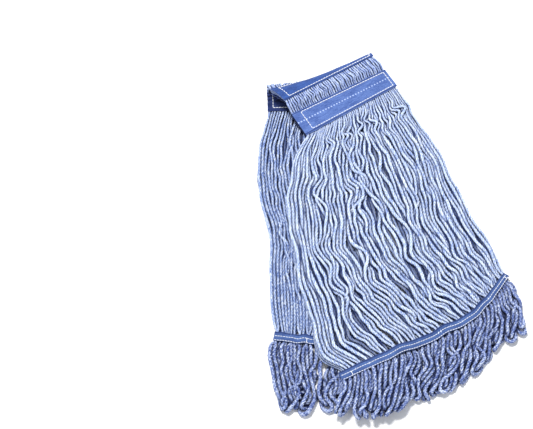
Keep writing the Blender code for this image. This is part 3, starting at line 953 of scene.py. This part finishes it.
def band_strands(lows, highs, step_count, puff_zones):
    """Strands inside and between the strips of the headband, square to them, in two rows."""
    strands = []
    shared = Waves(5.0, 0.55)
    for layer, count in enumerate(BAND_ROWS):
        places = spread(count, 0.006, 0.994, 0.18)
        for k in range(count):
            t = np.linspace(lows, highs, step_count)
            open_here = np.zeros(step_count)
            for a, b in puff_zones:
                share = np.clip((t - a) / (b - a), 0, 1)
                open_here = np.maximum(open_here, np.sin(math.pi * share) ** 0.5)
            own = Waves(0.0, 0.5, 3)
            u = places[k] + (0.0016 * own(0 * t, t) + 0.0042 * shared(places[k] + 0 * t, t)) * open_here
            pressed_depth = BAND_PRESSED[layer] * MM
            open_depth = BAND_OPEN[layer] * MM
            bulge = 0.5 * MM * own(0 * t + 0.3, t + 3.0)
            depth = pressed_depth + (open_depth - pressed_depth + bulge) * open_here
            line = band_spot(np.clip(u, 0.004, 0.996), t, depth)
            size = PRESSED_RADIUS * (1 + 0.10 * open_here) * rng.uniform(0.95, 1.05)
            strands.append(Strand(line, size, True, layer, places[k]))
    return strands


def make_yarn():
    """The strands and loops of both halves, settled on the floor and on top of each other."""
    back = skirt_strands(BACK)
    back_loops = fringe_strands(BACK)
    front = skirt_strands(FRONT)
    front_loops = fringe_strands(FRONT)

    def front_low(p):
        return front_top(p[:, 0]) - FRONT_DEPTH

    def front_high(p):
        near_band = smoothstep((p[:, 1] - 0.10) / 0.05)
        return front_top(p[:, 0]) + 3.0 * MM + near_band * 20 * MM

    rounds = 36
    settle(back + back_loops, lambda p: 0.0, lambda p: BACK_DEPTH + 0.4 * MM, rounds)
    settle(front + front_loops, front_low, front_high, rounds)
    return back, back_loops, front, front_loops


def stands_for(piece, nodes=(), body=None):
    """Hides the nodes that a piece replaces, and attaches the piece to its body where one is given."""
    if body:
        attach(piece, body)
    if nodes:
        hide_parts(*nodes)


def bend(piece):
    """Bakes a yarn piece's placement into its mesh."""
    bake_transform(piece)


def fringe_hinge(edge, share):
    return tape_point(edge, np.array(share), np.array(TAPE_WIDTH), 0.0)


def grouped(strands, count):
    """Strands in equal shares of the width, from left to right."""
    found = [[] for _ in range(count)]
    for s in strands:
        found[min(int(s.group * count), count - 1)].append(s)
    return found


def build_yarn():
    back, back_loops, front, front_loops = make_yarn()
    front_crowd = Crowd(front + front_loops)
    back_crowd = Crowd(back + back_loops)
    hinge = FRONT_SKIRT_LINE.mean(0)
    for k, held in enumerate(grouped(front, 12)):
        piece = yarn_piece(f"front_skirt_yarn_{k + 1:02d}", held, YARN, front_crowd)
        bend(piece)
        stands_for(piece, () if k % 2 else (f"front_skirt_{k // 2 + 1}",))
    for k, held in enumerate(grouped(back, 10)):
        piece = yarn_piece(f"back_skirt_yarn_{k + 1:02d}", held, BACK_YARN_SHADED, back_crowd)
        stands_for(piece, () if k % 2 else (f"back_skirt_{k // 2 + 1}",), "back_half")
    for k, held in enumerate(grouped(front_loops, 6)):
        piece = yarn_piece(f"front_fringe_loops_{k + 1}", held, FRINGE_YARN_SHADED, front_crowd)
        hinge = fringe_hinge(FRONT_TAPE_EDGE, (k + 0.5) / 6)
        bend(piece)
        stands_for(piece, (f"front_fringe_{k + 1}",))
    for k, held in enumerate(grouped(back_loops, 5)):
        piece = yarn_piece(f"back_fringe_loops_{k + 1}", held, FRINGE_YARN_SHADED, back_crowd)
        moves = k < 2
        if moves:
            hinge = fringe_hinge(BACK_TAPE_EDGE, (k + 0.5) / 5)
            bend(piece)
        stands_for(piece, (f"back_fringe_{k + 1}",), None if moves else "back_half")


def build_band_yarn():
    front = band_strands(0.12, 4.86, 60, [(1.0, 3.0)])
    rear = band_strands(4.9, 7.1, 26, [(5.0, 7.0)])
    back = band_strands(7.1, 8.9, 16, [])
    crowd = Crowd(front + rear + back)
    nodes = ("front_exposed_yarn", "front_headband_pressed_yarn", "crown_headband_pressed_yarn")
    for k, held in enumerate(grouped(front, 4)):
        piece = yarn_piece(f"front_band_yarn_{k + 1}", held, BAND_YARN, crowd, 2.0 * MM)
        stands_for(piece, nodes[k:k + 1], "front_headband")
    for k, held in enumerate(grouped(rear, 2)):
        piece = yarn_piece(f"fold_band_yarn_{k + 1}", held, BAND_YARN, crowd, 2.0 * MM)
        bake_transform(piece)
        stands_for(piece, (("rear_exposed_yarn_lower", "rear_exposed_yarn_upper")[k],))
    piece = yarn_piece("back_band_yarn", back, BAND_YARN, crowd, 3.0 * MM)
    stands_for(piece, ("back_headband_pressed_yarn",), "back_half")


# ---------------------------------------------------------------- strips, linings and tapes
# All three linings are cut alike. Spare cloth inside the fold stands up in pleats between the seams.
LINING_CUT = 34.0 * MM
PLEAT_COUNT = 3
PLEAT_SEWN = 0.15
PLEAT_LIMIT = 2.6 * MM
# Pitch and thread radius of the stitches round a strip, along a tape and across a tape's ends.
STRIP_STITCH = (4.2 * MM, 0.56 * MM)
TAPE_STITCH = (3.6 * MM, 0.46 * MM)
BARTACK_STITCH = (3.5 * MM, 0.6 * MM)


def grid(rows, columns):
    """Shares along and across a sheet, for each of its points."""
    return np.meshgrid(np.linspace(0, 1, columns), np.linspace(0, 1, rows), indexing="xy")


def slab(name, top, under, flat, material):
    """A thin sheet from two grids of points, its upper and its under face, closed by a rim."""
    rows, columns = top.shape[:2]
    points = np.concatenate([top.reshape(-1, 3), under.reshape(-1, 3)])
    j, i = np.meshgrid(np.arange(rows - 1), np.arange(columns - 1), indexing="ij")
    a = (j * columns + i).ravel()
    upper = np.stack([a, a + 1, a + 1 + columns, a + columns], -1)
    lower = upper[:, ::-1] + rows * columns
    rim = [(j, 0) for j in range(rows - 1, 0, -1)] + [(0, i) for i in range(columns - 1)]
    rim += [(j, columns - 1) for j in range(rows - 1)] + [(rows - 1, i) for i in range(columns - 1, 0, -1)]
    rim = np.array([j * columns + i for j, i in rim])
    after = np.roll(rim, -1)
    count = rows * columns
    side = np.stack([after, rim, count + rim, count + after], -1)
    attributes = {"cloth_at": np.concatenate([flat.reshape(-1, 3)] * 2)}
    made = mesh_from(name, points, [np.concatenate([upper, lower, side])], attributes, material)
    made.data.set_sharp_from_angle(angle=math.radians(50))
    return made


def stitches(name, centre, normal, pitch, radius, gap_share=0.10):
    """Separate lock-stitches along a line, each a short thread that dips into the cloth at both ends."""
    run = run_along(centre)
    count = max(int(round(run[-1] / pitch)), 1)
    pitch = run[-1] / count
    rings, columns = 6, 6
    shares = np.linspace(0.5 * gap_share, 1 - 0.5 * gap_share, rings)
    local = np.linspace(-1, 1, rings)
    angle = 2 * math.pi * np.arange(columns) / columns
    i = np.arange(columns)
    after = (i + 1) % columns
    points, faces, caps = [], [], []
    for k in range(count):
        at = (k + shares) * pitch
        line = np.stack([np.interp(at, run, centre[:, c]) for c in range(3)], 1)
        up = unit(np.stack([np.interp(at, run, normal[:, c]) for c in range(3)], 1))
        line = line + up * ((0.55 - 1.35 * local**4) * radius)[:, None]
        tangent = unit(np.gradient(line, axis=0))
        side = unit(np.cross(tangent, up))
        lift = np.cross(side, tangent)
        size = radius * (1 - 0.35 * local**4)
        ways = np.cos(angle)[:, None] * side[:, None] + np.sin(angle)[:, None] * lift[:, None]
        ring = line[:, None] + size[:, None, None] * ways
        base = k * rings * columns
        points.append(ring.reshape(-1, 3))
        j = np.arange(rings - 1)[:, None] * columns + base
        faces.append(np.stack([j + i, j + after, j + columns + after, j + columns + i], -1).reshape(-1, 4))
        caps += [base + i[::-1], base + (rings - 1) * columns + i]
    return mesh_from(name, np.concatenate(points), [np.concatenate(faces), np.array(caps)], {}, THREAD)


def pleats(base, x, s, inset):
    """How far a lining stands up between its seams where the fold leaves less room than its cut width."""
    room = np.linalg.norm(np.diff(base, axis=0), axis=2).sum(0)
    free = 1 - 2 * PLEAT_SEWN
    slope = np.linspace(0, 12, 200)
    phase = np.linspace(0, 2 * math.pi, 64, endpoint=False)
    longer = np.sqrt(1 + (slope[:, None] * np.cos(phase)) ** 2).mean(1)
    wanted = np.maximum((LINING_CUT / room - 2 * PLEAT_SEWN) / free, 1)
    tall = np.interp(wanted, longer, slope) * free * room / (2 * math.pi * PLEAT_COUNT)
    tall = np.minimum(tall, PLEAT_LIMIT)
    inside = np.clip((s - PLEAT_SEWN) / free, 0, 1)
    wander = 1.3 * np.sin(x * 2 * math.pi / (47 * MM)) * inside * (1 - inside)
    wave = 1 - np.cos(2 * math.pi * (PLEAT_COUNT * inside + wander))
    pinned = 1 - hill(x, inset, 3 * MM) - hill(x, STRIP_LENGTH - STITCH_INSET, 3 * MM)
    return tall * wave * pinned * ((inside > 0) & (inside < 1))


def strip_sheet(name, span, depth, thickness, outward, material, inset=0.0):
    """A headband strip or lining, puckered along its stitching, with its hem beyond the stitches."""
    low, high = span
    u, s = grid(22 if outward else 46, 96)
    margin = 0.012 * (high - low)
    t = low + margin + (high - low - 2 * margin) * s
    x = u * STRIP_LENGTH
    y = s * STRIP_WIDTH
    to_edge = np.minimum(np.minimum(x, STRIP_LENGTH - x), np.minimum(y, STRIP_WIDTH - y))
    stitched = hill(to_edge, STITCH_INSET, 1.1 * MM)
    ridge = hill(to_edge, 1.3 * MM, 1.0 * MM)
    beat = 0.5 + 0.5 * np.sin((x + y) * 2 * math.pi / (7.9 * MM))
    swell = Waves(1.5, 1.1)
    relief = 0.35 * MM * ridge - (0.30 + 0.25 * beat) * MM * stitched
    relief += 0.22 * MM * swell(u, s) * np.clip(to_edge / (6 * MM), 0, 1)
    outer = depth - (relief if outward else 0.0)
    inner = depth + thickness + (0.0 if outward else relief)
    if not outward:
        bunched = pleats(band_spot(u, t, depth + thickness + 0 * u), x, s, inset)
        outer, inner = outer + bunched, inner + bunched
    wobble = 0.35 * MM * np.sin(x * 2 * math.pi / (23 * MM) + 3 * low) * (np.abs(s - 0.5) > 0.49)
    shift = wobble / STRIP_WIDTH * (high - low)
    top = band_spot(u, t + shift, outer + 0 * u)
    under = band_spot(u, t + shift, inner + 0 * u)
    flat = np.stack([x, y, y - 0.52 * STRIP_WIDTH], -1)
    return slab(name, top, under, flat, material)


def strip_stitching(name, span, depth, outward, start_inset):
    """The rectangle of white lock-stitches just inside a strip's edges."""
    low, high = span
    inset = STITCH_INSET / STRIP_WIDTH
    a = start_inset / STRIP_LENGTH
    b = 1 - STITCH_INSET / STRIP_LENGTH
    corners = [(a, inset), (b, inset), (b, 1 - inset), (a, 1 - inset), (a, inset)]
    at = np.linspace(0, 4, 241)
    u, s = (np.interp(at, range(5), [corner[axis] for corner in corners]) for axis in (0, 1))
    t = low + (high - low) * s
    centre = band_spot(u, t, depth + 0 * u)
    normal = band_normal(u, t) * (1 if outward else -1)
    return stitches(name, centre, normal, *STRIP_STITCH)


def build_strips():
    lining_depth = STRIP_THICKNESS + GAP + YARN_DEPTH + GAP
    for place, span, body, inset, cloth in (
        ("front_headband", (0, 1), "front_headband", 13.0 * MM, STRIP_CLOTH),
        ("crown_headband", (3, 5), "front_headband", 10.0 * MM, CROWN_CLOTH_SHADED),
        ("back_headband", (7, 9), "back_half", 8.0 * MM, STRIP_CLOTH),
    ):
        strip = strip_sheet(f"{place}_strip_cloth", span, 0.0, STRIP_THICKNESS, True, cloth)
        seam = strip_stitching(f"{place}_outer_seam", span, 0.12 * MM, True, inset)
        lining = strip_sheet(
            f"{place}_lining_cloth", span, lining_depth, LINING_THICKNESS, False, LINING_CLOTH_SHADED, inset
        )
        back = strip_stitching(f"{place}_lining_seam", span, lining_depth + LINING_THICKNESS, False, inset)
        stands_for(strip, (f"{place}_strip",), body)
        stands_for(lining, (f"{place}_lining",), body)
        stands_for(seam, (f"{place}_outer_stitching",), body)
        stands_for(back, (f"{place}_lining_stitching",), body)


def tape_shift(edge, u, s):
    """How a tape wanders up and down its route, and how it is drawn in toward the front's right end."""
    wander = 0.9 * MM * np.sin(u * 31.0 + 1.0) + 0.6 * MM * np.sin(u * 57.0)
    drawn = 0.28 * smoothstep((u - 0.55) / 0.45) if edge is FRONT_TAPE_EDGE else 0.0 * u
    return wander * np.sin(math.pi * np.clip(u, 0, 1)) - drawn * (s - 0.35) * TAPE_WIDTH


def tape_sheet(name, edge, length, drop, thickness, swell):
    """One side of a tail tape, pinched along both seams."""
    u, s = grid(9, int(length / (2.2 * MM)))
    x = u * length
    y = s * TAPE_WIDTH
    seams = hill(y, UPPER_STITCH * TAPE_WIDTH, 1.0 * MM) + hill(y, LOWER_STITCH * TAPE_WIDTH, 1.0 * MM)
    rise = 0.35 * MM * swell(u, s) - 0.4 * MM * seams
    rise += 0.5 * MM * hill(y, 0.0, 1.0 * MM)
    place = y + tape_shift(edge, u, s)
    top = tape_point(edge, u, place, drop - rise)
    under = tape_point(edge, u, place, drop + thickness - 0.3 * rise)
    flat = np.stack([x, y, y], -1)
    return slab(name, top, under, flat, TAPE_CLOTH)


def tape_seam(name, edge, share, swell):
    """One of the two white lines along a tail tape."""
    u = np.linspace(0.006, 0.994, 160)
    drop = 0.30 * MM - 0.35 * MM * swell(u, share + 0 * u)
    centre = tape_point(edge, u, share * TAPE_WIDTH + tape_shift(edge, u, share), drop)
    normal = np.tile((0.0, 0.0, 1.0), (len(u), 1))
    return stitches(name, centre, normal, *TAPE_STITCH)


def bartack(name, edge, u, swell):
    """A few close cross stitches where both lines end."""
    shares = np.linspace(UPPER_STITCH - 0.06, LOWER_STITCH + 0.06, 8)
    u = np.full(8, u)
    drop = 0.05 * MM - 0.35 * MM * swell(u, shares)
    centre = tape_point(edge, u, shares * TAPE_WIDTH + tape_shift(edge, u, shares), drop)
    normal = np.tile((0.0, 0.0, 1.0), (8, 1))
    return stitches(name, centre, normal, *BARTACK_STITCH, 0.05)


def build_tapes():
    for side, edge, body, length, depth, tack in (
        ("front", FRONT_TAPE_EDGE, "front_skirt", 0.262, FRONT_DEPTH, 0.055),
        ("back", BACK_TAPE_EDGE, "back_half", 0.127, BACK_DEPTH, 0.33),
    ):
        swell = Waves(9.0, 0.7)
        under_drop = depth - TAPE_SINK - TAPE_THICKNESS
        upper = tape_sheet(f"{side}_tape_upper", edge, length, 0.0, TAPE_THICKNESS, swell)
        under = tape_sheet(f"{side}_tape_under", edge, length, under_drop, TAPE_THICKNESS * 0.8, swell)
        first = tape_seam(f"{side}_tape_seam_upper", edge, UPPER_STITCH, swell)
        second = tape_seam(f"{side}_tape_seam_lower", edge, LOWER_STITCH, swell)
        left = bartack(f"{side}_tape_bartack_left", edge, tack, swell)
        right = bartack(f"{side}_tape_bartack_right", edge, 0.975, swell)
        stands_for(upper, (f"{side}_tail_tape_upper", f"{side}_tail_yarn"), body)
        stands_for(under, (f"{side}_tail_tape_under",), body)
        threads = [first, second, left, right]
        for piece, node in zip(threads, ("stitch_upper", "stitch_lower", "bartack_left", "bartack_right")):
            stands_for(piece, (f"{side}_tail_{node}",), body)


# ---------------------------------------------------------------- camera, floor and light
def aim(position, target, pan, tilt):
    """Rotation of a camera that looks at a target, then turns left by pan and up by tilt."""
    look = (Vector(target) - Vector(position)).to_track_quat("-Z", "Y").to_matrix()
    return (look @ Matrix.Rotation(pan, 3, "Y") @ Matrix.Rotation(tilt, 3, "X")).to_euler()


CAMERA_ELEVATION = math.radians(65)
CAMERA_DISTANCE = 1.575
CAMERA_LENS = 78.0
CAMERA_PAN = math.radians(6.35)
CAMERA_TILT = math.radians(1.27)


def build_camera():
    target = -CENTRE
    toward = np.array([0.0, -math.cos(CAMERA_ELEVATION), math.sin(CAMERA_ELEVATION)])
    position = target + CAMERA_DISTANCE * toward
    data = bpy.data.cameras.new("camera")
    data.lens = CAMERA_LENS
    data.sensor_width = 36.0
    camera = bpy.data.objects.new("camera", data)
    camera.location = position
    camera.rotation_euler = aim(position, target, CAMERA_PAN, CAMERA_TILT)
    bpy.context.scene.collection.objects.link(camera)
    bpy.context.scene.camera = camera


def area_light(name, place, target, size, power, colour):
    data = bpy.data.lights.new(name, "AREA")
    data.shape = "DISK"
    data.size = size
    data.energy = power
    data.color = colour
    lamp = bpy.data.objects.new(name, data)
    lamp.location = place
    lamp.rotation_euler = (Vector(target) - Vector(place)).to_track_quat("-Z", "Y").to_euler()
    bpy.context.scene.collection.objects.link(lamp)


def build_stage():
    n = Nodes("pale_floor")
    grain = n.noise(n.add("ShaderNodeTexCoord").outputs["Object"], (3.0, 3.0, 3.0), 2.0, 0.5)
    colour = n.ramp(grain, [(0.3, (0.93, 0.93, 0.935)), (0.7, (0.96, 0.96, 0.96))])
    floor_look = n.finish(colour, 0.9, 0.0, 0.0)
    half = 6.0
    points = np.array([(-half, -half, 0), (half, -half, 0), (half, half, 0), (-half, half, 0)], float)
    points[:, 2] = -0.2 * MM
    floor = mesh_from("floor", points, [np.array([[0, 1, 2, 3]])], {}, floor_look)
    world = bpy.data.worlds.new("studio")
    world.use_nodes = True
    world.node_tree.nodes["Background"].inputs["Color"].default_value = (0.93, 0.96, 1.0, 1.0)
    world.node_tree.nodes["Background"].inputs["Strength"].default_value = 0.50
    bpy.context.scene.world = world
    area_light("key", (-0.30, 0.35, 2.1), (0, 0, 0), 0.5, 54.0, (1.0, 0.99, 0.97))
    area_light("fill", (0.9, -1.1, 1.9), (0, 0, 0), 1.2, 8.0, (0.97, 0.98, 1.0))
    scene = bpy.context.scene
    scene.view_settings.view_transform = "Standard"
    scene.view_settings.look = "None"


build_camera()
build_stage()
build_yarn()
build_band_yarn()
build_strips()
build_tapes()
